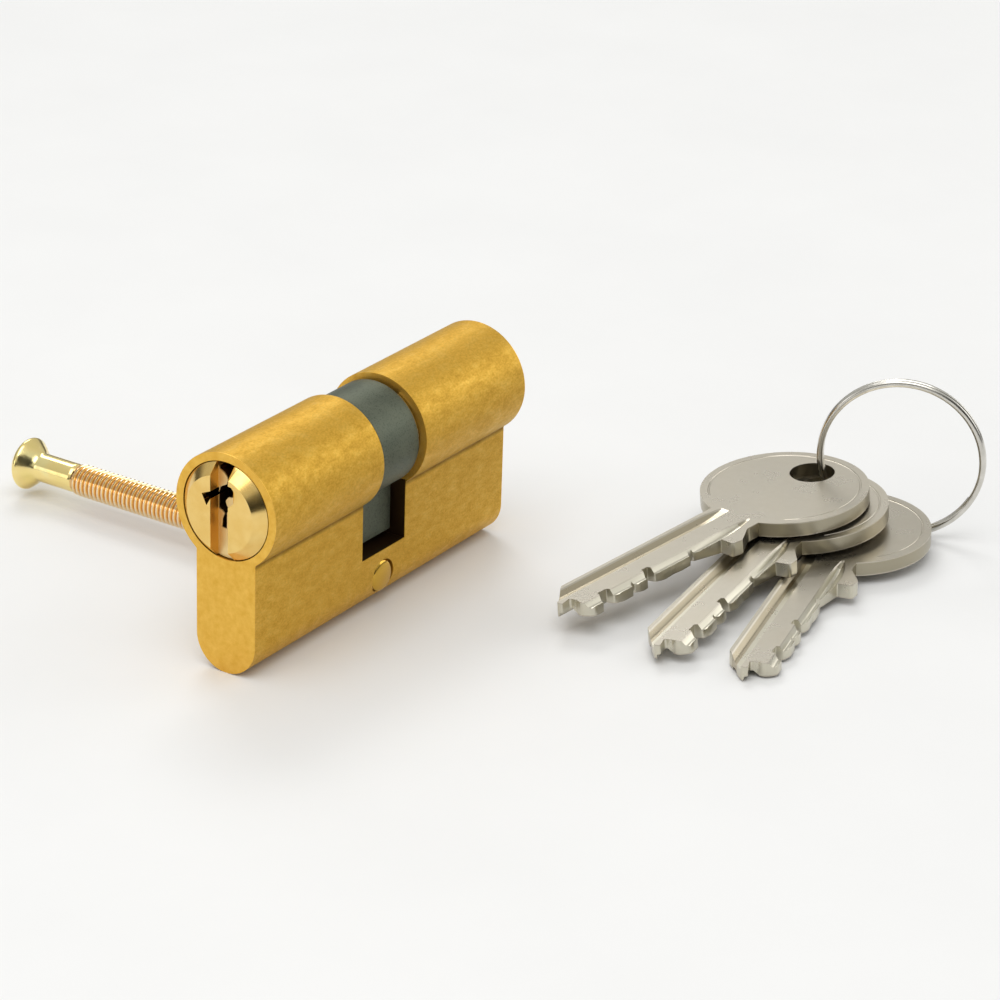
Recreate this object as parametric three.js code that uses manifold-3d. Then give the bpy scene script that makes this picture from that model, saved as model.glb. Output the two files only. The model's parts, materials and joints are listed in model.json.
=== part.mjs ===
// Euro-profile double lock cylinder for a mortice deadbolt, with its fixing screw and a ring of three keys.
// Millimetres. The origin is on the plug axis at mid-length, +X runs along the plugs to the rear face and
// +Z points away from the stem, so the stem hangs down. Both halves are alike and mirror about x = 0.

import * as THREE from "three";
import { mergeVertices } from "three/addons/utils/BufferGeometryUtils.js";
import Module from "manifold-3d";

const wasm = await Module();
wasm.setup();

// Housing: a round barrel over a flat-sided stem that ends in a half-round belly.
const halfLength = 30.5;
const barrelRadius = 8.5;
const stemHalfWidth = 5;
const bellyBottom = -24.5;
const notchHalfWidth = 5.2;
const notchBottom = -15.65;
const fixingHoleZ = -19.8;
const fixingHoleRadius = 2.65;
const counterboreDepth = 1.7;

// Plugs: a nose with a chamfered rim, a collar in a counterbore, and the body down to the cam.
const plugRadius = 6.5;
const collarRadius = 7.15;
const collarLength = 1.6;
const noseLength = 1.4;
const noseRadius = 5.6;
const plugInnerEnd = 1.5;
const runningClearance = 0.1;
const circlipGroove = { inner: 4.35, outer: 5.15, radius: 5.9 };

// Cam, clutch and circlips around the inner ends of the plugs.
const camHalfWidth = 4.3;
const camRadius = 7.75;
const camLeverHalfThickness = 3;
const camLeverRadius = 14.7;
const clutchLength = 2.8;
const clutchStart = -3;
const clutchHalfSpan = 7.05;
const clutchHalfThickness = 1.1;
const circlip = { inner: 4.45, outer: 5.05, innerRadius: 6.05, outerRadius: 7.3 };

// Pin stacks: five chambers a side, with a key pin, a driver pin, a spring and a cap in each.
const chamberDistances = [24.5, 20.5, 16.5, 12.5, 8.5];
const keyPinLengths = [4.3, 3.5, 4.7, 3.1, 3.9];
const chamberRadius = 1.62;
const pinRadius = 1.5;
const shearLine = -6.35;
const driverTop = -6.75;
const driverLength = 4.6;
const springTop = driverTop - driverLength - 0.1;
const capTop = -22.3;
const capBottom = -24.1;

// Fixing screw, M5, put in from the +Y side until its tip is flush with the near side.
const screw = { radius: 2.45, shankRadius: 2.2, headRadius: 4, tipY: -5, shankY: 51.2, neckY: 58.3, rimY: 60.4, topY: 62.1 };

// Keys: a round bow, a shoulder and a blade with five cuts. The bow's centre is the key's own origin,
// the blade points to -X and its spine is on the +Y side.
const keyThickness = 2.2;
const bowRadius = 12.6;
const keyHole = { x: 6.4, radius: 3.4 };
const keyTip = -48.4;
const spineY = 4;
const cutRootY = -3.4;
const cuts = [
  { station: -41.85, half: 0.8, depth: 1.65 }, { station: -36.6, half: 0.2, depth: 0.9 },
  { station: -32.9, half: 0.6, depth: 1.75 }, { station: -28.5, half: 0.4, depth: 0.1 },
  { station: -24.1, half: 0.4, depth: 1 },
];
const shoulder = { left: -19, right: -17.1, bottomY: -6.7, rootY: -4.3 };

// The set of keys lies beside the cylinder on the surface that the belly touches.
const ground = bellyBottom;
const keyPlaces = [
  { name: "key_1", x: 54.2, y: -39.9, height: 7.75, yaw: -10.5, pitch: 4.3, roll: -3.3 },
  { name: "key_2", x: 55.4, y: -42.7, height: 5.35, yaw: 5.3, pitch: 3.7, roll: -4.4 },
  { name: "key_3", x: 57.6, y: -48.9, height: 2.75, yaw: 12.7, pitch: 1.7, roll: -1.6 },
];
const ring = { x: 66.4, y: -52.6, height: 12.72, radius: 12.16, yaw: 22, radial: 1.04, wire: 0.78, pitch: 0.87, turns: 1.94, start: 298 };

const round = 40;

// ---------------------------------------------------------------- solids

function toSolid(geometry) {
  const bare = geometry.clone();
  for (const name of Object.keys(bare.attributes)) {
    if (name !== "position") bare.deleteAttribute(name);
  }
  const merged = mergeVertices(bare, 1e-4);
  return new wasm.Manifold(new wasm.Mesh({
    numProp: 3,
    vertProperties: new Float32Array(merged.attributes.position.array),
    triVerts: new Uint32Array(merged.index.array),
  }));
}

function toGeometry(solid) {
  const mesh = solid.getMesh();
  const geometry = new THREE.BufferGeometry();
  geometry.setAttribute("position", new THREE.BufferAttribute(mesh.vertProperties, 3));
  geometry.setIndex(new THREE.BufferAttribute(mesh.triVerts, 1));
  geometry.computeVertexNormals();
  return geometry;
}

function cut(base, tools) {
  return tools.reduce((solid, tool) => solid.subtract(toSolid(tool)), base);
}

function join(geometries) {
  return geometries.map(toSolid).reduce((sum, solid) => sum.add(solid));
}

// An outline drawn in the Y-Z plane, extruded along X between two stations.
function alongX(shape, from, to, curveSegments = 12) {
  const geometry = new THREE.ExtrudeGeometry(shape, { depth: to - from, bevelEnabled: false, curveSegments });
  const basis = new THREE.Matrix4().makeBasis(
    new THREE.Vector3(0, 1, 0), new THREE.Vector3(0, 0, 1), new THREE.Vector3(1, 0, 0));
  geometry.applyMatrix4(basis);
  return geometry.translate(from, 0, 0);
}

function box(low, high) {
  const size = high.map((value, axis) => value - low[axis]);
  const geometry = new THREE.BoxGeometry(...size);
  return geometry.translate(...low.map((value, axis) => value + size[axis] / 2));
}

function discX(radius, from, to, segments = round) {
  const geometry = new THREE.CylinderGeometry(radius, radius, to - from, segments);
  return geometry.rotateZ(-Math.PI / 2).translate((from + to) / 2, 0, 0);
}

function rodZ(radius, x, from, to, segments = 12) {
  const geometry = new THREE.CylinderGeometry(radius, radius, to - from, segments);
  return geometry.rotateX(Math.PI / 2).translate(x, 0, (from + to) / 2);
}

function rodY(radius, z, from, to, segments = 24) {
  const geometry = new THREE.CylinderGeometry(radius, radius, to - from, segments);
  return geometry.translate(0, (from + to) / 2, z);
}

// A turned piece on the Z axis from [radius, z] points that start and end on the axis.
function turnedZ(points, segments) {
  const profile = points.map(([r, z]) => new THREE.Vector2(r, z));
  return new THREE.LatheGeometry(profile, segments).rotateX(Math.PI / 2);
}

// The same profile turned about X, for the plugs.
function turnedX(points, segments = round) {
  return turnedZ(points, segments).rotateY(Math.PI / 2);
}

function polygon(points) {
  return new THREE.Shape(points.map(([x, y]) => new THREE.Vector2(x, y)));
}

// ---------------------------------------------------------------- housing

function profileOutline() {
  const bellyCentre = bellyBottom + stemHalfWidth;
  const junction = Math.asin(stemHalfWidth / barrelRadius);
  const shape = new THREE.Shape();
  shape.absarc(0, 0, barrelRadius, -Math.PI / 2 + junction, Math.PI * 1.5 - junction, false);
  shape.absarc(0, bellyCentre, stemHalfWidth, -Math.PI, 0, false);
  return shape;
}

function housing() {
  const body = toSolid(alongX(profileOutline(), -halfLength, halfLength, 28));
  const tools = [
    box([-notchHalfWidth, -barrelRadius - 1, notchBottom], [notchHalfWidth, barrelRadius + 1, barrelRadius + 1]),
    discX(plugRadius + runningClearance, -halfLength - 1, halfLength + 1),
    rodY(fixingHoleRadius, fixingHoleZ, -stemHalfWidth - 1, stemHalfWidth + 1),
  ];
  for (const side of [-1, 1]) {
    const ends = [side * (halfLength - counterboreDepth), side * (halfLength + 1)].sort((a, b) => a - b);
    tools.push(discX(collarRadius + runningClearance, ...ends));
    for (const distance of chamberDistances) {
      tools.push(rodZ(chamberRadius, side * distance, bellyBottom - 1, 0));
    }
  }
  return toGeometry(cut(body, tools));
}

// ---------------------------------------------------------------- plugs

// The keyway: a wide upper part for the spine, a step to one side, and a narrow slot down to the pins.
const keywayOutline = [
  [-1.1, 3.9], [-1.1, 1.4], [-0.5, 0.7], [-0.5, -0.9], [-1.1, -1.5], [-1.1, -4.9],
  [0.9, -4.9], [0.9, -1.7], [1.3, -1.2], [1.3, 0.9], [0.9, 1.4], [0.9, 3.9],
];

// A plug for the front half, which has its nose at -X. The rear plug is the same one turned about Z.
function frontPlug() {
  const face = -halfLength;
  const profile = [
    [0, face - noseLength], [noseRadius, face - noseLength], [collarRadius, face],
    [collarRadius, face + collarLength], [plugRadius, face + collarLength],
    [plugRadius, -circlipGroove.outer], [circlipGroove.radius, -circlipGroove.outer],
    [circlipGroove.radius, -circlipGroove.inner], [plugRadius, -circlipGroove.inner],
    [plugRadius, -plugInnerEnd], [0, -plugInnerEnd],
  ];
  const tools = [
    alongX(polygon(keywayOutline), face - noseLength - 1, 0),
    box([clutchStart - 0.2, -plugRadius - 1, -clutchHalfThickness - 0.2],
      [0, plugRadius + 1, clutchHalfThickness + 0.2]),
    guideNotch(face),
  ];
  for (const distance of chamberDistances) {
    tools.push(rodZ(chamberRadius, -distance, -plugRadius - 1, 0));
  }
  return toGeometry(cut(toSolid(turnedX(profile)), tools));
}

// A wedge milled into the rim of the nose above the keyway, which guides the key in.
function guideNotch(face) {
  return alongX(polygon([[-1.7, 8], [1.7, 8], [0.5, 3.5], [-0.5, 3.5]]), face - noseLength - 1, face + 0.9);
}

function rearPlug() {
  return frontPlug().rotateZ(Math.PI);
}

// ---------------------------------------------------------------- cam, clutch and circlips

function cam() {
  const lever = new THREE.Shape();
  const tipAngle = Math.asin(camLeverHalfThickness / camLeverRadius);
  lever.absarc(0, 0, camLeverRadius, -Math.PI / 2 - tipAngle, -Math.PI / 2 + tipAngle, false);
  lever.lineTo(camLeverHalfThickness, 0);
  lever.lineTo(-camLeverHalfThickness, 0);
  const blank = toSolid(discX(camRadius, -camHalfWidth, camHalfWidth))
    .add(toSolid(alongX(lever, -camHalfWidth, camHalfWidth)));
  return toGeometry(cut(blank, [
    discX(plugRadius + runningClearance, -camHalfWidth - 1, camHalfWidth + 1),
    box([-camHalfWidth - 1, -clutchHalfSpan - 0.15, -clutchHalfThickness - 0.15],
      [camHalfWidth + 1, clutchHalfSpan + 0.15, clutchHalfThickness + 0.15]),
  ]));
}

// A bar across the cam that sits in the end slot of one plug or the other.
function clutch() {
  return box([clutchStart, -clutchHalfSpan, -clutchHalfThickness],
    [clutchStart + clutchLength, clutchHalfSpan, clutchHalfThickness]);
}

function openRing(side) {
  const gap = 0.5;
  const shape = new THREE.Shape();
  shape.absarc(0, 0, circlip.outerRadius, Math.PI / 2 + gap, Math.PI * 2.5 - gap, false);
  shape.absarc(0, 0, circlip.innerRadius, Math.PI * 2.5 - gap, Math.PI / 2 + gap, true);
  const ends = [side * circlip.inner, side * circlip.outer].sort((a, b) => a - b);
  return alongX(shape, ...ends, 18);
}

// ---------------------------------------------------------------- pin stacks

function keyPin(length) {
  return turnedZ([
    [0, 0], [pinRadius - 0.3, 0], [pinRadius, 0.3], [pinRadius, length - 1.1],
    [0.35, length], [0, length],
  ], 12);
}

function driverPin() {
  return turnedZ([
    [0, -driverLength], [pinRadius - 0.2, -driverLength], [pinRadius, -driverLength + 0.2],
    [pinRadius, -0.25], [pinRadius - 0.25, 0], [0, 0],
  ], 12);
}

class Coil extends THREE.Curve {
  constructor(radius, turns, length) {
    super();
    Object.assign(this, { radius, turns, length });
  }

  getPoint(t, target = new THREE.Vector3()) {
    const angle = t * this.turns * Math.PI * 2;
    return target.set(this.radius * Math.cos(angle), this.radius * Math.sin(angle), this.length * t);
  }
}

function sweep(section, path, steps) {
  return new THREE.ExtrudeGeometry(section, { extrudePath: path, steps, bevelEnabled: false });
}

function pinSpring() {
  const wire = 0.2;
  const section = polygon([[wire, 0], [0, wire], [-wire, 0], [0, -wire]]);
  const length = springTop - capTop - 2 * wire - 0.1;
  return sweep(section, new Coil(1.15, 5, length), 40).translate(0, 0, wire);
}

function chamberCap() {
  return rodZ(chamberRadius - 0.05, 0, capBottom, capTop, 12);
}

// ---------------------------------------------------------------- fixing screw

function fixingScrew() {
  const rimCorner = screw.rimY + 0.35;
  const profile = [
    [0, screw.tipY], [screw.radius - 0.5, screw.tipY], [screw.radius, screw.tipY + 0.5],
    [screw.radius, screw.shankY], [screw.shankRadius, screw.shankY + 0.3],
    [screw.shankRadius, screw.neckY], [screw.headRadius, screw.rimY], [screw.headRadius, rimCorner],
    [3.2, screw.topY - 0.45], [1.8, screw.topY - 0.08], [0, screw.topY],
  ].map(([r, y]) => new THREE.Vector2(r, y));
  const body = toSolid(new THREE.LatheGeometry(profile, 24));
  const recessBottom = screw.topY - 2.3;
  const cross = join([
    box([-1.9, recessBottom, -0.45], [1.9, screw.topY + 1, 0.45]),
    box([-0.45, recessBottom, -1.9], [0.45, screw.topY + 1, 1.9]),
  ]);
  return toGeometry(body.subtract(cross)).translate(0, 0, fixingHoleZ);
}

// ---------------------------------------------------------------- keys and their ring

// The blade's lower edge: valleys at the cut stations with sloping flanks and lands between them.
function bittingEdge() {
  return cuts.flatMap(({ station, half, depth }) => {
    const valley = cutRootY + depth;
    const foot = half + 0.2 + depth * 0.35;
    return [
      [station - foot, cutRootY], [station - half, valley],
      [station + half, valley], [station + foot, cutRootY],
    ];
  });
}

// The blade ends in a slanted tip with a small hook, and a notch between the hook and the first land.
function keyOutline() {
  const neck = Math.asin(spineY / bowRadius);
  const lowerNeck = Math.asin(4.9 / bowRadius);
  const shape = new THREE.Shape();
  shape.absarc(0, 0, bowRadius, -Math.PI + lowerNeck, Math.PI - neck, false);
  const tip = [
    [keyTip + 4.3, spineY], [keyTip + 0.4, 1.3], [keyTip, 0.8], [keyTip + 0.2, 0],
    [keyTip + 2.2, 0.3], [keyTip + 2.3, -1.6], [keyTip + 3.3, -3.1],
  ];
  const root = [
    [shoulder.left, shoulder.rootY], [shoulder.left, shoulder.bottomY + 0.5],
    [shoulder.left + 0.5, shoulder.bottomY], [shoulder.right, shoulder.bottomY], [-14, -4.9],
  ];
  for (const [x, y] of [...tip, ...bittingEdge(), [-22.3, cutRootY], ...root]) shape.lineTo(x, y);
  const hole = new THREE.Path();
  hole.absarc(keyHole.x, 0, keyHole.radius, 0, Math.PI * 2, true);
  shape.holes.push(hole);
  return shape;
}

// The blank is flat, and the profile of the blade is milled as grooves and a step along its faces.
function key() {
  const blank = new THREE.ExtrudeGeometry(keyOutline(),
    { depth: keyThickness, bevelEnabled: false, curveSegments: 28 }).translate(0, 0, -keyThickness / 2);
  const half = keyThickness / 2;
  const grooveDepth = 0.7;
  const upperGrooves = [[1.4, 2.9, -14.5], [cutRootY - 1, -2.5, -20]];
  const lowerGrooves = [[-0.9, 0.4, -14.5]];
  const tools = [];
  for (const [from, to, end] of upperGrooves) {
    tools.push(box([keyTip - 1, from, half - grooveDepth], [end, to, half + 1]));
  }
  for (const [from, to, end] of lowerGrooves) {
    tools.push(box([keyTip - 1, from, -half - 1], [end, to, -half + grooveDepth]));
  }
  return toGeometry(cut(toSolid(blank), tools));
}

// Two turns of wire wound side by side, a left-handed coil whose ends stop short of each other.
function splitRing() {
  const { radial, wire, pitch, turns, radius, start } = ring;
  const across = radial / 2;
  const along = wire / 2;
  const section = polygon([
    [across, -along * 0.6], [across, along * 0.6], [0, along],
    [-across, along * 0.6], [-across, -along * 0.6], [0, -along],
  ]);
  const length = pitch * turns;
  return sweep(section, new Coil(radius, turns, -length), 66)
    .translate(0, 0, length / 2).rotateZ(THREE.MathUtils.degToRad(start));
}

// ---------------------------------------------------------------- assembly

const finishes = {
  brass: { color: 0xc9963a, roughness: 0.42, metalness: 1 },
  polished_brass: { color: 0xd9b45c, roughness: 0.18, metalness: 1 },
  sintered_steel: { color: 0x5a605a, roughness: 0.55, metalness: 0.9 },
  spring_steel: { color: 0x8b8d90, roughness: 0.3, metalness: 1 },
  yellow_zinc: { color: 0xcfae5e, roughness: 0.25, metalness: 1 },
  nickel: { color: 0xb3aea6, roughness: 0.3, metalness: 1 },
};

function piece(name, geometry, finish) {
  const mesh = new THREE.Mesh(geometry, new THREE.MeshStandardMaterial(finishes[finish]));
  mesh.name = name;
  return mesh;
}

function pinStack(side, distance, index) {
  const where = `${side < 0 ? "front" : "rear"}_${index + 1}`;
  const stack = new THREE.Group();
  stack.position.set(side * distance, 0, 0);
  const keyPinMesh = piece(`key_pin_${where}`, keyPin(keyPinLengths[index]), "polished_brass");
  keyPinMesh.position.z = shearLine;
  const driver = piece(`driver_pin_${where}`, driverPin(), "spring_steel");
  driver.position.z = driverTop;
  const spring = piece(`pin_spring_${where}`, pinSpring(), "spring_steel");
  spring.position.z = capTop + 0.05;
  stack.add(keyPinMesh, driver, spring, piece(`chamber_cap_${where}`, chamberCap(), "brass"));
  return stack;
}

function keySet() {
  const set = new THREE.Group();
  for (const place of keyPlaces) {
    const mesh = piece(place.name, key(), "nickel");
    mesh.position.set(place.x, place.y, ground + place.height);
    mesh.rotation.set(...[place.roll, -place.pitch, place.yaw].map(THREE.MathUtils.degToRad), "ZYX");
    set.add(mesh);
  }
  const loop = piece("split_ring", splitRing(), "nickel");
  loop.position.set(ring.x, ring.y, ground + ring.height);
  loop.rotation.set(0, Math.PI / 2, THREE.MathUtils.degToRad(ring.yaw), "ZYX");
  set.add(loop);
  return set;
}

const lock = new THREE.Group();
lock.add(
  piece("housing", housing(), "brass"),
  piece("plug_front", frontPlug(), "polished_brass"),
  piece("plug_rear", rearPlug(), "polished_brass"),
  piece("cam", cam(), "sintered_steel"),
  piece("clutch", clutch(), "spring_steel"),
  piece("circlip_front", openRing(-1), "spring_steel"),
  piece("circlip_rear", openRing(1), "spring_steel"),
  piece("fixing_screw", fixingScrew(), "yellow_zinc"),
  keySet(),
);
for (const side of [-1, 1]) {
  chamberDistances.forEach((distance, index) => lock.add(pinStack(side, distance, index)));
}

export default lock;
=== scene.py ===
"""Euro-profile double lock cylinder with its fixing screw and a ring of three keys."""

import json
import math

import bmesh
import bpy
import numpy as np
from mathutils import Matrix, Vector


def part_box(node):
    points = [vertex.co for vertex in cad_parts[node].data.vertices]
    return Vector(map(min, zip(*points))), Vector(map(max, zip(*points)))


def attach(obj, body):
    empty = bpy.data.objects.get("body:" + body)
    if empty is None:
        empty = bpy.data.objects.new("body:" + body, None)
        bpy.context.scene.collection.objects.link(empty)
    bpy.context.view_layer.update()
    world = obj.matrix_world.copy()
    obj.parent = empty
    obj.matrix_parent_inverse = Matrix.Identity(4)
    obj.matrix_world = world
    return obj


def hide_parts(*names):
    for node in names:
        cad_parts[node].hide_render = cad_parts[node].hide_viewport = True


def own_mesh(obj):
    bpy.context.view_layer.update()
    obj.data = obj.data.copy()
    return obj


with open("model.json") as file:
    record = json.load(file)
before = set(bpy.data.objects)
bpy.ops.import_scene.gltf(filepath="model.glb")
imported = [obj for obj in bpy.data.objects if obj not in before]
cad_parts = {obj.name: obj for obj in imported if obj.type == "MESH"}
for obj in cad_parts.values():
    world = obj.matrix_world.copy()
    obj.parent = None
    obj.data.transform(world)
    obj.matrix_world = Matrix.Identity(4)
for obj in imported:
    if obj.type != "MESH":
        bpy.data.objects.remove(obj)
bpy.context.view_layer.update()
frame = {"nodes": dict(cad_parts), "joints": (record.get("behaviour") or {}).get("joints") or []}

MM = 0.001
TAU = math.tau

# ---------------------------------------------------------------- sizes in millimetres, led by the frame


def node_box(node):
    """The low and high corners of a CAD node's box, in millimetres."""
    low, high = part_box(node)
    return [value / MM for value in low], [value / MM for value in high]


housing_low, housing_high = node_box("housing")
plug_low = node_box("plug_front")[0]
cam_low, cam_high = node_box("cam")
screw_low, screw_high = node_box("fixing_screw")
ring_low, ring_high = node_box("split_ring")

HALF_LENGTH = housing_high[0]
BARREL_RADIUS = housing_high[2]
BELLY_BOTTOM = housing_low[2]
STEM_HALF_WIDTH = 5.0
FILLET = 0.45
NOTCH_HALF_WIDTH = 5.2
NOTCH_BOTTOM = -15.65
HOLE_Z = (screw_low[2] + screw_high[2]) / 2
HOLE_RADIUS = 2.55
BORE_RADIUS = 6.6
COUNTERBORE_RADIUS = 7.25
COUNTERBORE_START = HALF_LENGTH - 1.7
CHAMBER_RADIUS = 1.62
PIN_RADIUS = 1.5
PAST = 1.0  # how far a cutting tool reaches past the metal

PLUG_RADIUS = 6.5
COLLAR_RADIUS = 7.12
COLLAR_INNER = HALF_LENGTH - 1.6
NOSE_RADIUS = 5.6
NOSE_END = -plug_low[0]
PLUG_INNER_END = 1.5
GUIDE_SLOT_LOW, GUIDE_SLOT_HIGH = -1.45, 1.55
GUIDE_SLOT_DEPTH = 1.9
CIRCLIP_GROOVE = (4.35, 5.15)
CIRCLIP_GROOVE_RADIUS = 5.9

CAM_HALF_WIDTH = cam_high[0]
CAM_RADIUS = cam_high[2]
CAM_LEVER_HALF = 3.0
CAM_LEVER_RADIUS = -cam_low[2]

THREAD_START = screw_low[1] + 0.45
THREAD_END = screw_high[1] - 10.9
THREAD_RADIUS = 2.45
THREAD_ROOT = 2.0
THREAD_PITCH = 0.8
# Past this station the screw's tip, inside the hole, gets painted shade.
SHADED_TIP_Y = -4.4

KEY_THICKNESS = 2.2
BOW_RADIUS = 12.6
KEY_HOLE_X = 6.4
KEY_HOLE_RADIUS = 3.4
KEY_TIP = -48.4
SPINE_Y = 4.0
BLADE_EDGE_Y = -3.4
SHOULDER_Y = -4.9
KEY_BEVEL = 0.16
BLADE_START = -13.5
# Each cut: its middle along the blade, half the width of its floor, and its depth from the blade's edge.
KEY_CUTS = ((-41.85, 0.95, 1.7), (-36.6, 0.15, 0.95), (-32.9, 0.65, 1.75), (-28.5, 0.3, 0.12),
            (-24.1, 0.4, 1.0))

SIDES = ("front", "rear")
STACKS = range(1, 6)

# ---------------------------------------------------------------- mesh helpers


def link(name, mesh):
    """A new object in the scene, from a mesh."""
    obj = bpy.data.objects.new(name, mesh)
    bpy.context.scene.collection.objects.link(obj)
    return obj


def mesh_object(name, points, faces):
    """A new object from points in millimetres."""
    mesh = bpy.data.meshes.new(name)
    mesh.from_pydata([tuple(float(c) * MM for c in p) for p in points], [], faces)
    work = bmesh.new()
    work.from_mesh(mesh)
    bmesh.ops.remove_doubles(work, verts=work.verts, dist=1e-7)
    bmesh.ops.recalc_face_normals(work, faces=work.faces)
    work.to_mesh(mesh)
    work.free()
    return link(name, mesh)


def prism(name, outline, low, high, axis="x"):
    """An outline of points on the other two axes, extruded between two stations along an axis."""
    order = {
        "x": lambda a, b, t: (t, a, b),
        "y": lambda a, b, t: (a, t, b),
        "z": lambda a, b, t: (a, b, t),
    }[axis]
    count = len(outline)
    points = [order(a, b, low) for a, b in outline] + [order(a, b, high) for a, b in outline]
    faces = [tuple(range(count)), tuple(range(2 * count - 1, count - 1, -1))]
    faces += [(i, (i + 1) % count, count + (i + 1) % count, count + i) for i in range(count)]
    return mesh_object(name, points, faces)


def turned(name, profile, axis="x", segments=96):
    """A solid of revolution from (station, radius) points; the end points lie on the axis."""
    order = {
        "x": lambda t, a, b: (t, a, b),
        "y": lambda t, a, b: (b, t, a),
        "z": lambda t, a, b: (a, b, t),
    }[axis]
    points = [order(profile[0][0], 0, 0)]
    for station, radius in profile[1:-1]:
        for i in range(segments):
            angle = TAU * i / segments
            points.append(order(station, radius * math.cos(angle), radius * math.sin(angle)))
    points.append(order(profile[-1][0], 0, 0))
    last = len(points) - 1
    rings = len(profile) - 2
    faces = [(0, 1 + i, 1 + (i + 1) % segments) for i in range(segments)]
    for r in range(rings - 1):
        base = 1 + r * segments
        for i in range(segments):
            j = (i + 1) % segments
            faces.append((base + i, base + segments + i, base + segments + j, base + j))
    base = 1 + (rings - 1) * segments
    faces += [(last, base + (i + 1) % segments, base + i) for i in range(segments)]
    return mesh_object(name, points, faces)


def rod(name, radius, low, high, axis="x", segments=96, centre=(0, 0, 0)):
    """A plain cylinder between two stations along an axis, moved by centre."""
    obj = turned(name, [(low, 0), (low, radius), (high, radius), (high, 0)], axis, segments)
    obj.data.transform(Matrix.Translation(Vector(centre) * MM))
    return obj


def block(name, low, high):
    """A box between two corners."""
    (x0, y0, z0), (x1, y1, z1) = low, high
    return prism(name, [(y0, z0), (y1, z0), (y1, z1), (y0, z1)], x0, x1)


def arc(centre, radius, start, end, steps):
    """Points on an arc, angles in degrees."""
    angles = [math.radians(start + (end - start) * i / steps) for i in range(steps + 1)]
    return [(centre[0] + radius * math.cos(a), centre[1] + radius * math.sin(a)) for a in angles]


def rounded(corners, steps=5):
    """A closed outline from (x, y, radius) corners, each corner replaced by an arc of that radius."""
    outline = []
    count = len(corners)
    for i in range(count):
        here = np.array(corners[i][:2], float)
        radius = corners[i][2]
        if radius <= 0:
            outline.append(tuple(here))
            continue
        before = np.array(corners[i - 1][:2], float) - here
        after = np.array(corners[(i + 1) % count][:2], float) - here
        length_before, length_after = np.linalg.norm(before), np.linalg.norm(after)
        before, after = before / length_before, after / length_after
        half = math.acos(max(-1.0, min(1.0, float(before @ after)))) / 2
        reach = min(radius / math.tan(half), 0.48 * length_before, 0.48 * length_after)
        radius = reach * math.tan(half)
        bisector = (before + after) / np.linalg.norm(before + after)
        centre = here + bisector * radius / math.sin(half)
        a, b = here + before * reach - centre, here + after * reach - centre
        start, end = math.atan2(a[1], a[0]), math.atan2(b[1], b[0])
        turn = (end - start + math.pi) % TAU - math.pi
        for s in range(steps + 1):
            angle = start + turn * s / steps
            outline.append((centre[0] + radius * math.cos(angle), centre[1] + radius * math.sin(angle)))
    return outline


def loft(name, rings):
    """A closed solid through rings of equally many points, capped at both ends."""
    count = len(rings[0])
    faces = [tuple(range(count))]
    for r in range(len(rings) - 1):
        base = r * count
        for i in range(count):
            j = (i + 1) % count
            faces.append((base + i, base + j, base + count + j, base + count + i))
    base = (len(rings) - 1) * count
    faces.append(tuple(range(base + count - 1, base - 1, -1)))
    return mesh_object(name, [point for ring in rings for point in ring], faces)


def sweep(name, centres, normals, binormals, section):
    """A tube through the centres; each section point is (along normal, along binormal)."""
    return loft(name, [[c + n * a + b * s for a, s in section]
                       for c, n, b in zip(centres, normals, binormals)])


def oval(half_out, half_up, points):
    """The section of a wire, from its two half-widths."""
    angles = np.linspace(0, TAU, points + 1)[:-1]
    return [(half_out * math.cos(a), half_up * math.sin(a)) for a in angles]


def helix(name, radius, turns, length, section, per_turn):
    """A coil about Z from z = 0; section points are (outward, along Z)."""
    steps = int(turns * per_turn)
    angles = [TAU * turns * i / steps for i in range(steps + 1)]
    outward = [np.array((math.cos(a), math.sin(a), 0)) for a in angles]
    centres = [o * radius + np.array((0, 0, length * i / steps)) for i, o in enumerate(outward)]
    up = [np.array((0, 0, 1.0))] * len(angles)
    return sweep(name, centres, outward, up, section)


def bake_modifiers(obj):
    """Replaces the mesh of obj with what its modifiers make of it."""
    depsgraph = bpy.context.evaluated_depsgraph_get()
    mesh = bpy.data.meshes.new_from_object(
        obj.evaluated_get(depsgraph), preserve_all_data_layers=True, depsgraph=depsgraph)
    obj.modifiers.clear()
    obj.data = mesh
    mesh.name = obj.name
    return obj


def cut(obj, *tools):
    """Subtracts each tool from obj and deletes the tools."""
    for tool in tools:
        modifier = obj.modifiers.new("cut", "BOOLEAN")
        modifier.operation = "DIFFERENCE"
        modifier.solver = "EXACT"
        modifier.object = tool
        bake_modifiers(obj)
        bpy.data.objects.remove(tool)
    work = bmesh.new()
    work.from_mesh(obj.data)
    bmesh.ops.remove_doubles(work, verts=work.verts, dist=2e-6)
    bmesh.ops.dissolve_degenerate(work, dist=1e-6, edges=work.edges)
    work.to_mesh(obj.data)
    work.free()
    return obj


def soften(obj, width=0.12, segments=2, angle=40):
    """Small bevels on every sharp edge, and smooth shading between them."""
    bevel = obj.modifiers.new("bevel", "BEVEL")
    bevel.width = width * MM
    bevel.segments = segments
    bevel.limit_method = "ANGLE"
    bevel.angle_limit = math.radians(angle)
    bevel.use_clamp_overlap = True
    bevel.miter_outer = "MITER_ARC"
    bake_modifiers(obj)
    return smooth(obj)


def smooth(obj, angle=35):
    """Smooth shading that breaks at edges sharper than the angle."""
    obj.data.shade_smooth()
    obj.data.set_sharp_from_angle(angle=math.radians(angle))
    weighted = obj.modifiers.new("normals", "WEIGHTED_NORMAL")
    weighted.keep_sharp = True
    return bake_modifiers(obj)


# ---------------------------------------------------------------- materials


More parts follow.
